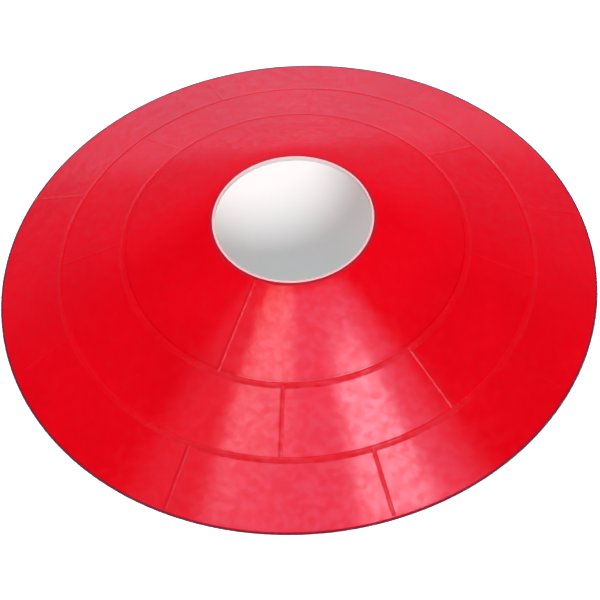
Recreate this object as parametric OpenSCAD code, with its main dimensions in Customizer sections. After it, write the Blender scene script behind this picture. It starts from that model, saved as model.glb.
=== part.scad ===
// Disc marker cone: a low, flexible field marker with a centre hole, two
// raised rings and staggered raised lines on its outer face.
// It stands on its rim, with the hole's axis along Z and its front toward -Y.
// It is moulded in one piece. Each node is one of its moulded features, and
// neighbouring nodes meet face to face, so the wall has no gap or overlap.

/* [Outline] */
// Outer diameter of the rim
rim_d = 190; // [175:1:240]
// Height of the hole's lip above the ground
cone_h = 40; // [35:0.5:50]
// Diameter of the centre hole
hole_d = 50; // [40:1:70]
// Thickness of the wall, square to its face
wall_t = 1.5; // [1:0.1:2.5]

/* [Edges] */
// Radius of the rounded edges of the rim and the hole
edge_r = 0.5; // [0.3:0.1:0.6]
// Height of the rim's upright edge
rim_edge_h = 0.9; // [0.6:0.1:1.5]
// Height of the step inside the rim's flat foot
foot_rise = 0.6; // [0.3:0.1:1]
// Width of the lip outside its rounded edge
lip_land = 0.25; // [0.1:0.05:3]

/* [Rings] */
// Diameter of the lower ring
lower_ring_d = 151; // [140:1:168]
// Height of the wall's outer face under the lower ring
lower_ring_h = 13.2; // [11:0.1:15]
// Diameter of the upper ring
upper_ring_d = 110; // [90:1:125]
// Height of the wall's outer face under the upper ring
upper_ring_h = 25.3; // [22:0.1:29]
// Width of each ring's bead
ring_w = 2.2; // [1.2:0.1:4]
// How far each ring stands out of the wall
ring_rise = 0.45; // [0.2:0.05:0.55]

/* [Lines] */
// Width of each line's bead
line_w = 1.4; // [0.8:0.1:3]
// How far each line stands out of the wall
line_rise = 0.35; // [0.15:0.05:0.35]
// Plain wall between a line's end and the rounded edge it runs to
line_end_gap = 0.2; // [0.1:0.1:1]
// Number of lines between the upper ring and the hole
upper_line_count = 4; // [2:1:12]
// Number of lines in each of the two lower bands
lower_line_count = 8; // [2:1:24]
// Direction of the first line, counted from +X toward +Y
first_line_angle = -120; // [-180:1:180]

/* [Hidden] */
$fn = 96;

// Colour of the plastic
plastic_red = [0.89, 0.03, 0.11];
// Straight steps that make up each rounded edge
edge_steps = 5;
// Straight steps that make up half of a ring's round top
ring_steps = 4;

rim_r = rim_d / 2;
hole_r = hole_d / 2;

// Points of the half section are [distance from the axis, height].
// The outer face turns at the two ring points.
lower_point = [lower_ring_d / 2, lower_ring_h];
upper_point = [upper_ring_d / 2, upper_ring_h];
// Centres of the rounded edges
rim_centre = [rim_r - edge_r, rim_edge_h];
lip_centre = [hole_r + edge_r, cone_h - edge_r];

// Slopes are in degrees below level, going outward.
function slope_between(high, low) = atan2(high[1] - low[1], low[0] - high[0]);
// Direction square out of a face of that slope
function face_out(slope) = [sin(slope), cos(slope)];
// Upright thickness of a wall of that slope
function upright_t(slope) = wall_t / cos(slope);
// Height, at radius r, of a face of that slope through a point
function face_z(point, slope, r) = point[1] - (r - point[0]) * tan(slope);
// Radius at which that face has height z
function face_r(point, slope, z) = point[0] + (point[1] - z) / tan(slope);
// Point on the wall's inner face opposite a turn of its outer face
function inner_point(point, slope_a, slope_b) =
    let (a = face_out(slope_a), b = face_out(slope_b))
    point - wall_t * (a + b) / (1 + a * b);
// Rounded edge between two directions in degrees
function rounded(centre, from, to) =
    [for (i = [0 : edge_steps])
        let (angle = from + (to - from) * i / edge_steps)
        centre + edge_r * [cos(angle), sin(angle)]];
// Radius of an arc of that width and rise
function arc_r(width, rise) = (width * width / 4 + rise * rise) / (2 * rise);
// Section of a ring that straddles a turn of the wall's outer face: a round top
// from one band's face to the other's, closed at the turn or at a deeper point
function ring_section(point, slope_a, slope_b, deep) =
    let (
        out = face_out((slope_a + slope_b) / 2),
        along = [out[1], -out[0]],
        half_turn = (slope_a - slope_b) / 2,
        top_w = ring_w * cos(half_turn),
        top_rise = ring_rise + ring_w * sin(half_turn) / 2,
        top_r = arc_r(top_w, top_rise),
        top_angle = 2 * atan(2 * top_rise / top_w),
        centre = point + (ring_rise - top_r) * out
    )
    concat(
        [for (i = [-ring_steps : ring_steps])
            let (angle = top_angle * i / ring_steps)
            centre + top_r * (sin(angle) * along + cos(angle) * out)],
        [deep ? centre : point]
    );

// Each band's outer face runs tangent to the rounded edge that ends it.
lower_slope = slope_between(lower_point, rim_centre)
    - asin(edge_r / norm(rim_centre - lower_point));
middle_slope = slope_between(upper_point, lower_point);
upper_slope = slope_between(lip_centre, upper_point)
    + asin(edge_r / norm(lip_centre - upper_point));
rim_edge = rim_centre + edge_r * face_out(lower_slope);
lip_edge = lip_centre + edge_r * face_out(upper_slope);

// The foot starts where the wall's inner face comes down to the step.
foot_in_r = face_r(lower_point, lower_slope, foot_rise + upright_t(lower_slope));
foot_in_z = face_z(lower_point, lower_slope, foot_in_r);
// The lip's flat underside is level with the wall's inner face where they meet.
lip_out_r = lip_edge[0] + lip_land;
lip_out_z = face_z(upper_point, upper_slope, lip_out_r);
lip_under_z = lip_out_z - upright_t(upper_slope);

line_r = arc_r(line_w, line_rise);

// Bead that lies on the wall all the way round
module ring_bead(point, slope_a, slope_b) {
    rotate_extrude()
        polygon(ring_section(point, slope_a, slope_b, false));
}

// The same ring reaching down into the wall, which trims the lines that run to it
module ring_cut(point, slope_a, slope_b) {
    rotate_extrude()
        polygon(ring_section(point, slope_a, slope_b, true));
}

// Section of a line's bead: flat where it lies on the wall, round outside
module line_section() {
    difference() {
        translate([line_rise - line_r, 0])
            circle(r = line_r);
        translate([-2 * line_r, -line_r])
            square(2 * line_r);
    }
}

// Straight beads up one band, evenly spaced round the cone and trimmed by the
// rings given as children
module line_beads(low, high, slope, count, start_angle) {
    for (i = [0 : count - 1])
        rotate([0, 0, start_angle + i * 360 / count])
            difference() {
                translate([low[0], 0, low[1]])
                    rotate([0, slope - 90, 0])
                        linear_extrude(norm(high - low))
                            line_section();
                children();
            }
}

// Thin sheet from the foot to the lip
module cone_wall() {
    color(plastic_red)
        rotate_extrude()
            polygon([
                [foot_in_r, foot_rise],
                [foot_in_r, foot_in_z],
                lower_point,
                upper_point,
                [lip_out_r, lip_out_z],
                [lip_out_r, lip_under_z],
                inner_point(upper_point, middle_slope, upper_slope),
                inner_point(lower_point, lower_slope, middle_slope)
            ]);
}

// Thickened edge of the centre hole, with an upright bore
module hole_lip() {
    color(plastic_red)
        rotate_extrude()
            polygon(concat(
                [[hole_r, lip_under_z], [lip_out_r, lip_under_z], [lip_out_r, lip_out_z]],
                rounded(lip_centre, 90 - upper_slope, 180)
            ));
}

// Flat-footed edge that the cone stands on
module base_rim() {
    color(plastic_red)
        rotate_extrude()
            polygon(concat(
                [[foot_in_r, 0], [rim_r, 0]],
                rounded(rim_centre, 0, 90 - lower_slope),
                [[foot_in_r, foot_in_z]]
            ));
}

module upper_ring_bead() {
    color(plastic_red)
        ring_bead(upper_point, middle_slope, upper_slope);
}

module lower_ring_bead() {
    color(plastic_red)
        ring_bead(lower_point, lower_slope, middle_slope);
}

// Lines from the upper ring to the hole
module upper_line_beads() {
    high = lip_edge + line_end_gap * [cos(upper_slope), -sin(upper_slope)];
    color(plastic_red)
        line_beads(upper_point, high, upper_slope, upper_line_count, first_line_angle)
            ring_cut(upper_point, middle_slope, upper_slope);
}

// Lines between the rings, half a step round from the lines below them
module middle_line_beads() {
    half_step = 180 / lower_line_count;
    color(plastic_red)
        line_beads(lower_point, upper_point, middle_slope, lower_line_count,
                   first_line_angle + half_step) {
            ring_cut(lower_point, lower_slope, middle_slope);
            ring_cut(upper_point, middle_slope, upper_slope);
        }
}

// Lines from the rim to the lower ring
module lower_line_beads() {
    low = rim_edge + line_end_gap * [-cos(lower_slope), sin(lower_slope)];
    color(plastic_red)
        line_beads(low, lower_point, lower_slope, lower_line_count, first_line_angle)
            ring_cut(lower_point, lower_slope, middle_slope);
}

cone_wall();
hole_lip();
base_rim();
upper_ring_bead();
lower_ring_bead();
upper_line_beads();
middle_line_beads();
lower_line_beads();
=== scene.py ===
import math

import bpy
from mathutils import Matrix, Vector


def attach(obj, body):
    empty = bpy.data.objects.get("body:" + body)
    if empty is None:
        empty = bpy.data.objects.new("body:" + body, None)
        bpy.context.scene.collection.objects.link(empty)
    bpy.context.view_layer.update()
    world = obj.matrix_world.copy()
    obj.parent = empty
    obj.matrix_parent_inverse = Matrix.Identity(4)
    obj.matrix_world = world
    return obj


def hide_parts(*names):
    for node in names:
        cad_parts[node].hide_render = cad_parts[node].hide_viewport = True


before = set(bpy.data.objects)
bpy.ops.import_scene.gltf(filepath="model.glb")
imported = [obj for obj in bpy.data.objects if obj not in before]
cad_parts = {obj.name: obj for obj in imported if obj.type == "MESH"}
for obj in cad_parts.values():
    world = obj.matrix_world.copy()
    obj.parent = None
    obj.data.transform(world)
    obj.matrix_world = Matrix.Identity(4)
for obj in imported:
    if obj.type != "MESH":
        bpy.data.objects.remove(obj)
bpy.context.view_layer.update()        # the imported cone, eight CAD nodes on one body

mm = 0.001
roundSteps = 288         # steps round the cone, shared by every turned piece
mergeGap = 0.002         # millimetres; points closer than this become one
rowGap = 0.01            # millimetres; how near a point lies to the row that it belongs to
sharpAngle = 40          # degrees; edges that turn more than this stay sharp

# Measurements that the pieces share, in millimetres. A turn is where the outer face changes its slope:
# its distance from the axis and its height.
outline = {
    "rimRadius": 95.0, "rimEdgeHeight": 0.9, "edgeRadius": 0.5,
    "holeRadius": 25.0, "lipHeight": 40.0, "lipLand": 0.25,
    "lowerTurn": (75.5, 13.2), "upperTurn": (55.0, 25.3),
    "wallThickness": 1.5, "footRise": 0.6,
}


def slopeBetween(high, low):         # degrees below level, going outward
    return math.degrees(math.atan2(high[1] - low[1], low[0] - high[0]))


def faceOut(slope):                  # direction square out of a face of that slope
    return Vector((math.sin(math.radians(slope)), math.cos(math.radians(slope))))


def downFace(slope):                 # direction outward along that face
    return Vector((math.cos(math.radians(slope)), -math.sin(math.radians(slope))))


def faceHeight(point, slope, radius):
    return point[1] - (radius - point[0]) * math.tan(math.radians(slope))


def uprightThickness(slope):         # of the sheet, measured upright
    return outline["wallThickness"] / math.cos(math.radians(slope))


def tangentTilt(point, centre, radius):
    return math.degrees(math.asin(radius / (Vector(point) - Vector(centre)).length))


edgeRadius = outline["edgeRadius"]
lowerTurn, upperTurn = Vector(outline["lowerTurn"]), Vector(outline["upperTurn"])
rimCentre = Vector((outline["rimRadius"] - edgeRadius, outline["rimEdgeHeight"]))
lipCentre = Vector((outline["holeRadius"] + edgeRadius, outline["lipHeight"] - edgeRadius))

# each band's outer face runs tangent to the rounded edge that ends it
lowerSlope = slopeBetween(lowerTurn, rimCentre) - tangentTilt(lowerTurn, rimCentre, edgeRadius)
middleSlope = slopeBetween(upperTurn, lowerTurn)
upperSlope = slopeBetween(lipCentre, upperTurn) + tangentTilt(upperTurn, lipCentre, edgeRadius)
lipEdge = lipCentre + edgeRadius * faceOut(upperSlope)
rimEdge = rimCentre + edgeRadius * faceOut(lowerSlope)

# where the sheet meets the lip and the foot
lipOutRadius = lipEdge[0] + outline["lipLand"]
lipOutHeight = faceHeight(upperTurn, upperSlope, lipOutRadius)
lipUnderHeight = lipOutHeight - uprightThickness(upperSlope)
footHeight = outline["footRise"] + uprightThickness(lowerSlope)
footInRadius = lowerTurn[0] + (lowerTurn[1] - footHeight) / math.tan(math.radians(lowerSlope))


def nothingSelected():
    if bpy.context.object and bpy.context.object.mode != "OBJECT":
        bpy.ops.object.mode_set(mode="OBJECT")
    bpy.ops.object.select_all(action="DESELECT")


def onlySelected(piece):
    nothingSelected()
    piece.select_set(True)
    bpy.context.view_layer.objects.active = piece


def nameIt(name):
    piece = bpy.context.object
    piece.name = piece.data.name = name
    return piece


def smoothed(piece):
    onlySelected(piece)
    bpy.ops.object.shade_smooth_by_angle(angle=math.radians(sharpAngle))


def arc(centre, radius, start, end, steps):
    angles = [math.radians(start + (end - start) * i / steps) for i in range(steps + 1)]
    return [(centre[0] + radius * math.cos(a), centre[1] + radius * math.sin(a)) for a in angles]


def stretch(start, end, steps):      # points between two places, without the last
    return [(start[0] + (end[0] - start[0]) * i / steps, start[1] + (end[1] - start[1]) * i / steps)
            for i in range(steps)]


# The upper band is a little domed and rounds off near the hole: degrees of its bow and of its
# shoulder, and the shoulder's share of the band.
upperBulge = {"spread": 3.2, "easing": 4.7, "reach": 0.138}
upperLength = (Vector((lipOutRadius, lipOutHeight)) - upperTurn).length


def bulgeHeight(share):              # how far it stands above a straight side, in millimetres
    reach, easing = upperBulge["reach"], upperBulge["easing"]
    shoulder = easing * reach * (1 - math.exp(-share / reach) - share * (1 - math.exp(-1 / reach)))
    return upperLength * math.radians(upperBulge["spread"] * share * (1 - share) / 2 + shoulder)


def bowed(start, end, out, steps):   # points along a bulging side, without the last
    return [tuple(start + (end - start) * i / steps + out * bulgeHeight(i / steps))
            for i in range(steps)]


def turned(name, section):
    # a circle at the section's first point, extruded and resized to each next point until it closes
    nothingSelected()
    first = section[0]
    bpy.ops.mesh.primitive_circle_add(vertices=roundSteps, radius=first[0] * mm, fill_type="NOTHING",
                                      location=(0, 0, first[1] * mm))
    piece = nameIt(name)
    bpy.ops.object.transform_apply(location=True, rotation=True, scale=True)
    bpy.ops.object.mode_set(mode="EDIT")
    bpy.ops.mesh.select_all(action="SELECT")
    for here, there in zip(section, section[1:] + [first]):
        bpy.ops.mesh.extrude_region_move(
            TRANSFORM_OT_translate={"value": (0, 0, (there[1] - here[1]) * mm)})
        share = there[0] / here[0]
        bpy.ops.transform.resize(value=(share, share, 1), center_override=(0, 0, 0))
    bpy.ops.mesh.select_all(action="SELECT")
    bpy.ops.mesh.remove_doubles(threshold=mergeGap * mm)
    bpy.ops.mesh.normals_make_consistent(inside=False)
    bpy.ops.object.mode_set(mode="OBJECT")
    smoothed(piece)
    return piece


def roundedTurn(before, corner, after, reach, steps):
    # a soft turn in a section: a curve that leaves the corner's two sides at that reach
    start = corner + (before - corner).normalized() * reach
    end = corner + (after - corner).normalized() * reach
    points = []
    for i in range(steps + 1):
        t = i / steps
        points.append(tuple((1 - t) ** 2 * start + 2 * t * (1 - t) * corner + t ** 2 * end))
    return points


class Wire:
    # a value on its way through the nodes; arithmetic on it adds Math nodes
    def __init__(self, tree, socket):
        self.tree, self.socket = tree, socket

    def maths(self, operation, left, right):
        return addNode(self.tree, "ShaderNodeMath", {"operation": operation}, {0: left, 1: right})

    def __add__(self, other):
        return self.maths("ADD", self, other)

    def __radd__(self, other):
        return self.maths("ADD", other, self)

    def __sub__(self, other):
        return self.maths("SUBTRACT", self, other)

    def __rsub__(self, other):
        return self.maths("SUBTRACT", other, self)

    def __mul__(self, other):
        return self.maths("MULTIPLY", self, other)

    def __rmul__(self, other):
        return self.maths("MULTIPLY", other, self)

    def __truediv__(self, other):
        return self.maths("DIVIDE", self, other)

    def angleFrom(self, other):      # direction in radians of the point (other, self)
        return self.maths("ARCTAN2", self, other)

    def most(self, other):
        return self.maths("MAXIMUM", self, other)


def findSocket(sockets, key):
    if isinstance(key, int):
        return sockets[key]
    for socket in sockets:
        if socket.identifier == key:
            return socket
    return sockets[key]


def addNode(tree, kind, settings=None, sockets=None, output=0):
    node = tree.nodes.new(kind)
    for name, value in (settings or {}).items():
        if name == "stops":
            ramp = node.color_ramp
            while len(ramp.elements) < len(value):
                ramp.elements.new(0.5)
            for element, (place, colour) in zip(ramp.elements, value):
                element.position, element.color = place, colour
        else:
            setattr(node, name, value)
    for key, value in (sockets or {}).items():
        socket = findSocket(node.inputs, key)
        if isinstance(value, Wire):
            tree.links.new(value.socket, socket)
        else:
            socket.default_value = value
    return Wire(tree, findSocket(node.outputs, output) if node.outputs else None)


def between(value, low, high):       # 0 below low, 1 above high, eased
    return addNode(value.tree, "ShaderNodeMapRange", {"interpolation_type": "SMOOTHSTEP"},
                   {"Value": value, "From Min": low, "From Max": high})


def mixColour(factor, first, second):
    return addNode(factor.tree, "ShaderNodeMix", {"data_type": "RGBA"},
                   {"Factor_Float": factor, "A_Color": first, "B_Color": second}, "Result_Color")


def coordinate(place, axis):
    return addNode(place.tree, "ShaderNodeSeparateXYZ", None, {0: place}, axis)


def rayKind(tree, kind):             # 1 for that kind of ray, such as "Is Camera Ray"
    return addNode(tree, "ShaderNodeLightPath", output=kind)


def grey(level):
    return (level, level, level, 1)


def freshTree(owner):
    owner.use_nodes = True
    owner.node_tree.nodes.clear()
    return owner.node_tree


redPlastic = {   # sizes, depths and distances from the axis are in millimetres
    "colour": (0.81, 0.0008, 0.0080, 1), "deep": (0.76, 0.0006, 0.0070, 1),   # clear skin, clouds in it
    "bead": (0.70, 0.0008, 0.0085, 1),            # painted shade: the rings and lines made darker toward the front
    "edgeShade": (0.42, 0.004, 0.020, 1),         # painted shade: dark line round the hole, where the lip's edge is in shade
    "rimShade": (0.25, 0.003, 0.022, 1),          # painted shade: dark line along the rim's upright edge
    "trimmed": (0.98, 0.50, 0.51, 1),             # pale pink band on the lip's top edge
    "bore": (0.98, 0.95, 0.95, 1),                # painted light: the bore near white, as bright as the lit floor through the hole
    "roughness": 0.12, "ringRoughness": 0.20, "lineRoughness": 0.13,
    "roughnessSpread": 0.07,                      # how much duller the blotches are
    "frontSheen": 0.24,                           # how much duller the front beads are
    "dulledEdgeShade": 0.40, "dulledRimShade": 0.25,          # how much duller the painted shade lines round the hole and rim are
    "gloss": 0.45,                                # most that the wet-looking patches add
    "glossRoughness": 0.15, "ior": 1.5,
    "cloud": 28.0, "blotch": 3.2, "ripple": 11.0, "grain": 0.35,
    "patchShare": 0.8,                            # size of a glossy patch against a blotch
    "blotchDepth": 0.005, "rippleDepth": 0.015, "grainDepth": 0.0010,
    "cloudSpan": (0.35, 0.68),                    # noise levels where each starts and is full
    "blotchSpan": (0.40, 0.70),
    "patchSpan": (0.38, 0.66),
    "boreSpan": (25.00, 25.10),                   # where each ends, and the plain skin starts
    "paleEdgeSpan": (25.58, 25.72),
    "edgeSpan": (26.20, 26.90),
    "rimSpan": (94.35, 94.47),                    # where the rim's painted shade line starts, at the sides
    "rimLean": 0.5,                               # how much further in the painted shade line starts at the back
    "ringFront": (-136, -114, -66, -42),          # directions in degrees from +X where the front's duller look and painted shade start, are full, start to fade and end
    "lineFront": (-134, -124, -48, -36),          # look starts, is full, starts to fade and ends
}


def plasticMaterial(name, base=redPlastic["roughness"], dullAndShadedSpan=None, paintedHoleEdge=False, dulledRimShade=False):
    material = bpy.data.materials.new(name)
    tree = freshTree(material)
    place = addNode(tree, "ShaderNodeTexCoord", output="Object")
    flat = addNode(tree, "ShaderNodeVectorMath", {"operation": "MULTIPLY"}, {0: place, 1: (1, 1, 0)})
    radius = addNode(tree, "ShaderNodeVectorMath", {"operation": "LENGTH"}, {0: flat}, "Value")

    def noise(size, detail=1.0):
        return addNode(tree, "ShaderNodeTexNoise", {"noise_dimensions": "3D"},
                       {"Vector": place, "Scale": 1 / (size * mm), "Detail": detail, "Roughness": 0.5})

    def past(distance, span):        # 0 nearer to the axis than the span, 1 beyond it
        return between(distance, span[0] * mm, span[1] * mm)

    blotches, ripples, grain = (noise(redPlastic[size]) for size in ("blotch", "ripple", "grain"))
    patches = noise(redPlastic["blotch"] * redPlastic["patchShare"], detail=2.0)
    patches = between(patches, *redPlastic["patchSpan"])
    clouds = between(noise(redPlastic["cloud"], detail=3.0), *redPlastic["cloudSpan"])
    colour = mixColour(clouds, redPlastic["colour"], redPlastic["deep"])
    roughness = base + redPlastic["roughnessSpread"] * between(blotches, *redPlastic["blotchSpan"])
    if dullAndShadedSpan:
        angle = coordinate(place, "Y").angleFrom(coordinate(place, "X"))
        start, full, last, end = (math.radians(degrees) for degrees in dullAndShadedSpan)
        front = between(angle, start, full) * (1 - between(angle, last, end))
        # painted shade: the beads darker toward the front, as well as duller
        colour = mixColour(front, colour, redPlastic["bead"])
        roughness = roughness + redPlastic["frontSheen"] * front
    if paintedHoleEdge:
        # painted shade round the hole, a pale pink band on the lip's top edge, and painted light on the
        # bore
        shade = 1 - past(radius, redPlastic["edgeSpan"])
        colour = mixColour(shade, colour, redPlastic["edgeShade"])
        colour = mixColour(1 - past(radius, redPlastic["paleEdgeSpan"]), colour, redPlastic["trimmed"])
        # painted light: the bore made near white
        colour = mixColour(1 - past(radius, redPlastic["boreSpan"]), colour, redPlastic["bore"])
        roughness = roughness + redPlastic["dulledEdgeShade"] * shade
        patches = patches * (1 - shade)
    if dulledRimShade:
        # painted shade along the rim's upright edge, wider toward the back
        toBack = coordinate(place, "Y") / (outline["rimRadius"] * mm)
        shade = past(radius + toBack * redPlastic["rimLean"] * mm, redPlastic["rimSpan"])
        colour = mixColour(shade, colour, redPlastic["rimShade"])
        roughness = roughness + redPlastic["dulledRimShade"] * shade
    height = (redPlastic["blotchDepth"] * blotches + redPlastic["rippleDepth"] * ripples
              + redPlastic["grainDepth"] * grain) * mm
    normal = addNode(tree, "ShaderNodeBump", None,
                     {"Strength": 1.0, "Distance": 1.0, "Height": height}, "Normal")
    shader = addNode(tree, "ShaderNodeBsdfPrincipled", None,
                     {"Base Color": colour, "Roughness": roughness, "Normal": normal,
                      "IOR": redPlastic["ior"], "Coat Weight": redPlastic["gloss"] * patches,
                      "Coat Roughness": redPlastic["glossRoughness"]}, "BSDF")
    addNode(tree, "ShaderNodeOutputMaterial", None, {"Surface": shader})
    return material


wallPlastic = plasticMaterial("glossyRedPlastic", paintedHoleEdge=True)
ringPlastic = plasticMaterial("satinRedPlastic", base=redPlastic["ringRoughness"],
                              dullAndShadedSpan=redPlastic["ringFront"])
linePlastic = plasticMaterial("softSheenRedPlastic", base=redPlastic["lineRoughness"],
                              dullAndShadedSpan=redPlastic["lineFront"])
lipPlastic = plasticMaterial("trimmedLipPlastic", paintedHoleEdge=True)
rimPlastic = plasticMaterial("rimPlasticPaintedShade", dulledRimShade=True)


def dress(piece, material, *nodes):
    piece.data.materials.clear()
    piece.data.materials.append(material)
    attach(piece, "root")
    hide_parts(*nodes)
    print("made", piece.name, len(piece.data.polygons), "faces")


# the thin sheet from the foot to the lip
wallShape = {"turnReach": 1.6, "turnSteps": 6, "rows": 8, "bowRows": 24, "edgeRows": 2}


def innerTurn(turn, slopeA, slopeB):
    a, b = faceOut(slopeA), faceOut(slopeB)
    return turn - outline["wallThickness"] * (a + b) / (1 + a.dot(b))


def makeWall():
    lipOut, lipUnder = Vector((lipOutRadius, lipOutHeight)), Vector((lipOutRadius, lipUnderHeight))
    footTop, footUnder = Vector((footInRadius, footHeight)), Vector((footInRadius, outline["footRise"]))
    innerUpper = innerTurn(upperTurn, middleSlope, upperSlope)
    innerLower = innerTurn(lowerTurn, lowerSlope, middleSlope)
    reach, steps, rows = wallShape["turnReach"], wallShape["turnSteps"], wallShape["rows"]
    bowRows, edgeRows = wallShape["bowRows"], wallShape["edgeRows"]
    topBand = bowed(lipOut, upperTurn, faceOut(upperSlope), bowRows)
    underBand = bowed(lipUnder, innerUpper, faceOut(upperSlope), bowRows)[::-1]
    upper = roundedTurn(Vector(topBand[-1]), upperTurn, lowerTurn, reach, steps)
    lower = roundedTurn(upperTurn, lowerTurn, footTop, reach, steps)
    underLower = roundedTurn(footUnder, innerLower, innerUpper, reach, steps)
    underUpper = roundedTurn(innerLower, innerUpper, Vector(underBand[0]), reach, steps)
    outerFace = (topBand + upper[:-1] + stretch(upper[-1], lower[0], rows)
                 + lower[:-1] + stretch(lower[-1], footTop, rows))
    innerFace = (stretch(footUnder, underLower[0], rows) + underLower[:-1]
                 + stretch(underLower[-1], underUpper[0], rows) + underUpper + underBand)
    section = (outerFace + stretch(footTop, footUnder, edgeRows)
               + innerFace + stretch(lipUnder, lipOut, edgeRows)[1:])
    dress(turned("coneWall", section), wallPlastic, "cone_wall")


makeWall()


# the edge of the centre hole: a crisp top edge, and a rounded lower edge of the bore
lipShape = {
    "topHeight": 40.15, "topRound": 0.12, "topSteps": 6, "landRows": 3,
    "lowerBreak": 0.70, "lowerSteps": 8, "boreRows": 3,
}


def makeLip():
    bore, lowerBreak, topRound = outline["holeRadius"], lipShape["lowerBreak"], lipShape["topRound"]
    topCentre = (bore + topRound, lipShape["topHeight"] - topRound)
    top = arc(topCentre, topRound, 180, 90 - upperSlope, lipShape["topSteps"])
    lowerCentre = (bore + lowerBreak, lipUnderHeight + lowerBreak)
    corner = arc(lowerCentre, lowerBreak, 270, 180, lipShape["lowerSteps"])
    land = stretch(top[-1], (lipOutRadius, lipOutHeight), lipShape["landRows"])[1:]
    joint = [(lipOutRadius, lipOutHeight), (lipOutRadius, (lipOutHeight + lipUnderHeight) / 2),
             (lipOutRadius, lipUnderHeight)]
    section = corner[:-1] + stretch(corner[-1], top[0], lipShape["boreRows"]) + top + land + joint
    dress(turned("holeLip", section), lipPlastic, "hole_lip")


makeLip()


# the edge that the cone stands on
rimShape = {"topSteps": 9, "footBreak": 0.12, "footSteps": 3, "footRows": 2}


def makeRim():
    footBreak, rimRadius = rimShape["footBreak"], outline["rimRadius"]
    top = arc(rimCentre, edgeRadius, 90 - lowerSlope, 0, rimShape["topSteps"])
    corner = arc((rimRadius - footBreak, footBreak), footBreak, 0, -90, rimShape["footSteps"])
    inside = [(footInRadius, 0.0), (footInRadius, outline["footRise"]), (footInRadius, footHeight)]
    section = inside + top + corner[:-1] + stretch(corner[-1], inside[0], rimShape["footRows"])
    dress(turned("baseRim", section), rimPlastic, "base_rim")


makeRim()


# The two raised rings. The crest is a share of the width, and the feet end just under the sheet's face.
ringShape = {"width": 2.8, "shift": 0.22, "rise": 0.10, "crest": 0.26, "sink": 0.012, "root": 0.06,
             "steps": 28}


def makeRing(name, turn, slopeIn, slopeOut, node):
    # a soft ridge over the turn between two bands, steeper on its inner side
    steps, crest, root = ringShape["steps"], ringShape["crest"], ringShape["root"]
    ridge = []
    for i in range(steps + 1):
        share = i / steps
        along = ringShape["width"] * (share - 0.5) + ringShape["shift"]
        base = turn + downFace(slopeIn if along < 0 else slopeOut) * along
        out = faceOut(slopeIn + (slopeOut - slopeIn) * share)
        fall = (crest - share) / crest if share < crest else (share - crest) / (1 - crest)
        rise = ringShape["rise"] * math.cos(math.pi / 2 * fall) ** 2 - ringShape["sink"]
        ridge.append(tuple(base + out * rise))
    under = [tuple(Vector(ridge[-1]) - faceOut(slopeOut) * root),
             tuple(turn - faceOut((slopeIn + slopeOut) / 2) * root * 2),
             tuple(Vector(ridge[0]) - faceOut(slopeIn) * root)]
    dress(turned(name, ridge + under), ringPlastic, node)


makeRing("upperRing", upperTurn, upperSlope, middleSlope, "upper_ring_bead")
makeRing("lowerRing", lowerTurn, middleSlope, lowerSlope, "lower_ring_bead")


# the raised straight lines
lineShape = {
    "width": 1.6, "rise": 0.095, "sink": 0.006, "root": 0.03, "across": 16, "along": 12,
    "firstAngle": -120, "upperCount": 4, "lowerCount": 8,      # directions are in degrees from +X
    "lastFront": -50, "faintShare": 0.42,         # past that direction, a line's share of the rise
    "topGap": 0.9, "edgeGap": 0.25,               # plain skin left at the lip and at the rim
    "fade": 1.6, "fadeShare": 0.02,               # slope at a free end, and the share of the rise there
}


def selectWhere(piece, test):
    bpy.ops.mesh.select_all(action="DESELECT")
    bpy.ops.object.mode_set(mode="OBJECT")
    for vertex in piece.data.vertices:
        vertex.select = test(vertex.co)
    bpy.ops.object.mode_set(mode="EDIT")


def inRow(value, place):             # a coordinate in metres against a row's place in millimetres
    return abs(value / mm - place) < rowGap


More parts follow.
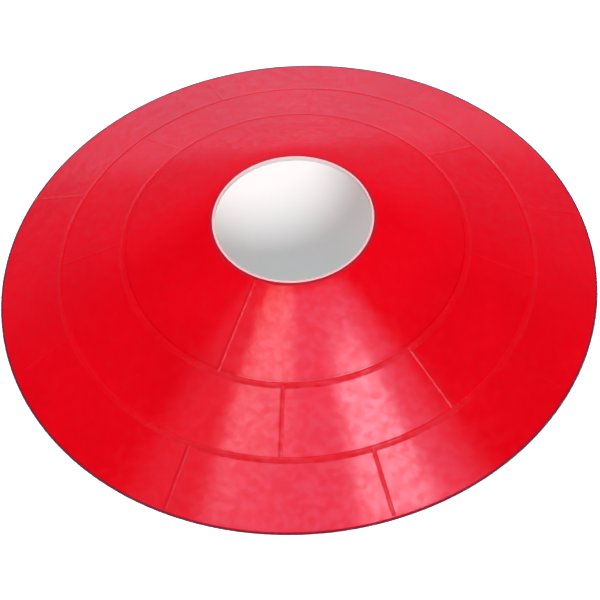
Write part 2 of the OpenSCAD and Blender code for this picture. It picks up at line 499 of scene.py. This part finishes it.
def makeLines(name, top, bottom, slope, count, startAngle, node,
              fadeTop=False, fadeBottom=False, bulged=False):
    # one ridge along X, shaped from a grid, then laid on the band and copied round
    length, width = (Vector(bottom) - Vector(top)).length, lineShape["width"]
    sink, root = lineShape["sink"] * mm, lineShape["root"] * mm
    across, rowStep = lineShape["across"], length / lineShape["along"]
    nothingSelected()
    bpy.ops.mesh.primitive_grid_add(x_subdivisions=lineShape["along"], y_subdivisions=across,
                                    size=1, location=(0, 0, 0))
    line = nameIt(name)
    line.scale = (length * mm, width * mm, 1)
    line.location = (length / 2 * mm, 0, -sink - root)
    bpy.ops.object.transform_apply(location=True, rotation=True, scale=True)
    bpy.ops.object.mode_set(mode="EDIT")
    bpy.ops.mesh.select_mode(type="VERT")
    bpy.ops.mesh.select_all(action="SELECT")
    bpy.ops.mesh.extrude_region_move(TRANSFORM_OT_translate={"value": (0, 0, root)})

    def onTop(co):                   # and not on the underside
        return co.z > -sink - root / 2

    half = across // 2
    for step in range(-half + 1, half):
        side = width * step / across
        rise = lineShape["rise"] * math.cos(math.pi * side / width) ** 2
        selectWhere(line, lambda co: inRow(co.y, side) and onTop(co))
        bpy.ops.transform.translate(value=(0, 0, rise * mm))
    for end, inward, wanted in ((0.0, 1, fadeTop), (length, -1, fadeBottom)):
        if wanted:                   # the ridge dies out in a short slope
            selectWhere(line, lambda co: inRow(co.x, end) and onTop(co))
            bpy.ops.transform.resize(value=(1, 1, lineShape["fadeShare"]),
                                     center_override=(0, 0, -sink))
            selectWhere(line, lambda co: inRow(co.x, end + inward * rowStep))
            bpy.ops.transform.translate(value=((lineShape["fade"] - rowStep) * inward * mm, 0, 0))
    if bulged:                       # it follows the bulge of its band
        bpy.ops.object.mode_set(mode="OBJECT")
        places = sorted({round(vertex.co.x / mm, 3) for vertex in line.data.vertices})
        bpy.ops.object.mode_set(mode="EDIT")
        for place in places:
            selectWhere(line, lambda co: inRow(co.x, place))
            lift = bulgeHeight(1 - (length - place) / upperLength)
            bpy.ops.transform.translate(value=(0, 0, lift * mm))
    bpy.ops.mesh.select_all(action="SELECT")
    bpy.ops.mesh.normals_make_consistent(inside=False)
    bpy.ops.object.mode_set(mode="OBJECT")

    copies = []
    for i in range(count):
        onlySelected(line)
        bpy.ops.object.duplicate(linked=False)
        copy = bpy.context.object
        angle = startAngle + 360 * i / count
        around = math.radians(angle)
        copy.scale = (1, 1, 1 if angle < lineShape["lastFront"] else lineShape["faintShare"])
        copy.rotation_euler = (0, math.radians(slope), around)
        copy.location = (top[0] * mm * math.cos(around), top[0] * mm * math.sin(around), top[1] * mm)
        bpy.ops.object.transform_apply(location=True, rotation=True, scale=True)
        copies.append(copy)
    bpy.data.objects.remove(line)
    nothingSelected()
    for copy in copies:
        copy.select_set(True)
    bpy.context.view_layer.objects.active = copies[0]
    bpy.ops.object.join()
    lines = nameIt(name)
    smoothed(lines)
    dress(lines, linePlastic, node)


lineTop = lipEdge + lineShape["topGap"] * downFace(upperSlope)
lineFoot = rimEdge - lineShape["edgeGap"] * downFace(lowerSlope)
halfStep = 180 / lineShape["lowerCount"]
makeLines("upperLines", lineTop, upperTurn, upperSlope, lineShape["upperCount"],
          lineShape["firstAngle"], "upper_line_beads", fadeTop=True, bulged=True)
makeLines("middleLines", upperTurn, lowerTurn, middleSlope, lineShape["lowerCount"],
          lineShape["firstAngle"] + halfStep, "middle_line_beads")
makeLines("lowerLines", lowerTurn, lineFoot, lowerSlope, lineShape["lowerCount"],
          lineShape["firstAngle"], "lower_line_beads", fadeBottom=True)


studio = {
    "floorSize": 8.0, "floorDrop": 0.0001,        # metres; the drop keeps it clear of the foot
    "floorGlow": (0.088, 0.40, 0.40, 1),          # the floor as the camera sees it: its own light
    "floorWhite": (1.40, 1.47, 1.47, 1),          # and how it takes the lamps' light
    "floorMirrored": (0.36, 0.32, 0.48, 1),       # the floor as the gloss sees it
    "floorBounce": 0.30, "ambient": 0.175,        # greys of floor and air, as they light the cone
    "surround": (                                 # the air as the gloss sees it, by its height
        (0.00, (0.52, 0.47, 0.67, 1)), (0.46, (0.48, 0.43, 0.65, 1)),
        (0.495, (0.38, 0.32, 0.52, 1)), (0.525, (0.17, 0.145, 0.25, 1)),
        (0.57, (0.15, 0.125, 0.23, 1)), (0.63, (0.115, 0.095, 0.19, 1)),
        (0.70, (0.04, 0.035, 0.07, 1)), (0.76, (0.0, 0.0, 0.0, 1))),
}

lamps = (   # name, degrees round from the front, degrees up, distance, size, level on a card facing it
    ("keyLamp", 9.0, 36.0, 2.6, 0.65, 0.66),
    ("backLamp", 182.0, 40.0, 2.6, 1.2, 0.80),
    ("leftLamp", -68.0, 33.0, 2.6, 1.2, 0.17),
    ("rightLamp", 95.0, 16.0, 2.6, 1.2, 0.14),
    ("underLamp", 0.0, -90.0, 2.6, 2.0, 0.40),
)

# Only the gloss sees the glowing cards, which hang over the cone and fan out toward the front. Their
# height and the gap between two of them are in metres, and the other sizes are shares of the height.
ceiling = {"height": 2.0, "gap": 0.01, "width": 4, "depth": 1.2, "middle": -0.4, "fan": 0.29}

# Each edge has its place and softness, then how much it slants and where the slant leaves it in place.
# Left and right are shares of the fan, front and back are shares of the ceiling's height.
cards = {
    "leftStrip": {"left": (-0.655, 0.028, 0, 0), "right": (-0.11, 0.028, 0, 0),
                  "front": (-0.435, 0.06, 0, 0), "back": (0.0, 0.05, 0, 0),
                  "light": (2.0, 1.9, 1.7, 1)},
    "rightStrip": {"left": (0.285, 0.025, 0.45, -0.42), "right": (0.725, 0.05, 0, 0),
                   "front": (-0.51, 0.12, 0.20, 0.50), "back": (-0.29, 0.038, 0.20, 0.50),
                   "light": (5.2, 4.8, 5.7, 1)},
    "midGlow": {"left": (-0.67, 0.09, 0, 0), "right": (1.18, 0.45, 0, 0),
                "front": (-0.70, 0.20, 0.10, 0.25), "back": (-0.125, 0.09, 0.10, 0.25),
                "light": (1.4, 1.15, 2.0, 1)},
    "sideGlow": {"left": (-1.50, 0.45, 0, 0), "right": (-0.67, 0.09, 0, 0),
                 "front": (-0.70, 0.20, 0, 0), "back": (-0.02, 0.10, 0, 0),
                 "light": (0.45, 0.32, 0.52, 1)},
}


def makeFloor():
    nothingSelected()
    bpy.ops.mesh.primitive_plane_add(size=studio["floorSize"], location=(0, 0, -studio["floorDrop"]))
    floor = nameIt("floor")
    material = bpy.data.materials.new("paleFloor")
    tree = freshTree(material)
    seen = rayKind(tree, "Is Camera Ray").most(rayKind(tree, "Is Transmission Ray"))
    behind = addNode(tree, "ShaderNodeNewGeometry", output="Backfacing")
    mirrored = rayKind(tree, "Is Glossy Ray")
    bounce = mixColour(mirrored, grey(studio["floorBounce"]), studio["floorMirrored"])
    plain = addNode(tree, "ShaderNodeBsdfDiffuse", None, {"Color": bounce}, "BSDF")
    white = addNode(tree, "ShaderNodeBsdfDiffuse", None, {"Color": studio["floorWhite"]}, "BSDF")
    glow = addNode(tree, "ShaderNodeEmission", None, {"Color": studio["floorGlow"]}, "Emission")
    shown = addNode(tree, "ShaderNodeAddShader", None, {0: white, 1: glow})
    clear = addNode(tree, "ShaderNodeBsdfTransparent", None, {}, "BSDF")
    mixed = addNode(tree, "ShaderNodeMixShader", None, {0: seen, 1: plain, 2: shown})
    mixed = addNode(tree, "ShaderNodeMixShader", None, {0: behind, 1: mixed, 2: clear})
    addNode(tree, "ShaderNodeOutputMaterial", None, {"Surface": mixed})
    floor.data.materials.append(material)
    floor.visible_shadow = False         # the lamp below it lights the cone's inside
    print("floor laid")


def aimedAt(location, target):
    return (Vector(target) - Vector(location)).to_track_quat("-Z", "Y").to_euler()


def makeLamps():
    for name, direction, height, distance, size, level in lamps:
        around, up = math.radians(direction), math.radians(height)
        location = Vector((math.sin(around) * math.cos(up), -math.cos(around) * math.cos(up),
                           math.sin(up))) * distance
        nothingSelected()
        bpy.ops.object.light_add(type="AREA", location=location, rotation=aimedAt(location, (0, 0, 0)))
        lamp = nameIt(name)
        lamp.data.shape, lamp.data.size = "DISK", size
        # at level 1 it lights a white card to 1
        lamp.data.energy = level * math.pi * math.pi * distance * distance
        lamp.visible_glossy = False
        lamp.visible_camera = False
    print("lamps hung:", len(lamps))


def pastEdge(value, other, place, soft, slant, still):    # 0 before a card's edge, 1 past it
    if slant:
        value = value - (other - still) * slant
    return between(value, place - soft, place + soft)


def makeCards():
    height = ceiling["height"]
    for i, (name, card) in enumerate(cards.items()):
        nothingSelected()
        bpy.ops.mesh.primitive_plane_add(size=1, location=(0, ceiling["middle"], 0))
        panel = nameIt(name)
        panel.scale = (ceiling["width"], ceiling["depth"], 1)
        bpy.ops.object.transform_apply(location=True, rotation=True, scale=True)
        panel.scale = (height, height, 1)        # its own coordinates stay shares of the height
        panel.location.z = height - ceiling["gap"] * i
        material = bpy.data.materials.new(name + "Light")
        tree = freshTree(material)
        place = addNode(tree, "ShaderNodeTexCoord", output="Object")
        along = coordinate(place, "Y")
        across = coordinate(place, "X") / (ceiling["fan"] - along)
        level = 1.0
        for value, other, near, far in ((across, along, "left", "right"),
                                        (along, across, "front", "back")):
            level = pastEdge(value, other, *card[near]) * level
            level = (1 - pastEdge(value, other, *card[far])) * level
        glow = addNode(tree, "ShaderNodeEmission", None,
                       {"Color": card["light"], "Strength": level}, "Emission")
        clear = addNode(tree, "ShaderNodeBsdfTransparent", None, {}, "BSDF")
        both = addNode(tree, "ShaderNodeAddShader", None, {0: glow, 1: clear})
        addNode(tree, "ShaderNodeOutputMaterial", None, {"Surface": both})
        panel.data.materials.append(material)
        panel.visible_camera = panel.visible_diffuse = False
        panel.visible_shadow = panel.visible_transmission = False
    print("cards hung:", len(cards))


def makeWorld():
    world = bpy.data.worlds.new("paleStudio")
    bpy.context.scene.world = world
    tree = freshTree(world)
    seen = rayKind(tree, "Is Camera Ray").most(rayKind(tree, "Is Transmission Ray"))
    direction = addNode(tree, "ShaderNodeTexCoord", output="Generated")
    height = coordinate(direction, "Z") * 0.5 + 0.5          # 0 straight down, 1 straight up
    surround = addNode(tree, "ShaderNodeValToRGB", {"stops": studio["surround"]},
                       {"Fac": height}, "Color")
    colour = mixColour(rayKind(tree, "Is Glossy Ray"), grey(studio["ambient"]), surround)
    colour = mixColour(seen, colour, grey(1))
    light = addNode(tree, "ShaderNodeBackground", None,
                    {"Color": colour, "Strength": 1.0}, "Background")
    addNode(tree, "ShaderNodeOutputWorld", None, {"Surface": light})
    print("world lit")


makeFloor()
makeLamps()
makeCards()
makeWorld()


# The camera looks down at 51.4 degrees from far away, rolled by 4.4 degrees.
cameraSet = {
    "elevation": 51.44, "roll": 4.40, "distance": 3.8,       # degrees and metres
    "lens": 716.4, "sensor": 36.0, "clip": (0.1, 100),       # the clip is in metres
    "imageWidth": 600, "offset": (-0.95, -2.1),              # pixels
}


def makeCamera():
    up = math.radians(cameraSet["elevation"])
    back = Vector((0, -math.cos(up), math.sin(up)))
    level = (-back).to_track_quat("-Z", "Y").to_matrix()
    turn = level @ Matrix.Rotation(-math.radians(cameraSet["roll"]), 3, "Z")
    pixel = cameraSet["distance"] * cameraSet["sensor"] / cameraSet["lens"] / cameraSet["imageWidth"]
    aside, down = cameraSet["offset"]
    shift = turn @ Vector((-aside * pixel, down * pixel, 0))
    nothingSelected()
    bpy.ops.object.camera_add(location=back * cameraSet["distance"] + shift)
    camera = nameIt("photoCamera")
    camera.rotation_euler = turn.to_euler()
    camera.data.lens, camera.data.sensor_width = cameraSet["lens"], cameraSet["sensor"]
    camera.data.clip_start, camera.data.clip_end = cameraSet["clip"]
    bpy.context.scene.camera = camera
    print("camera set")


makeCamera()
bpy.context.scene.view_settings.view_transform = "Standard"
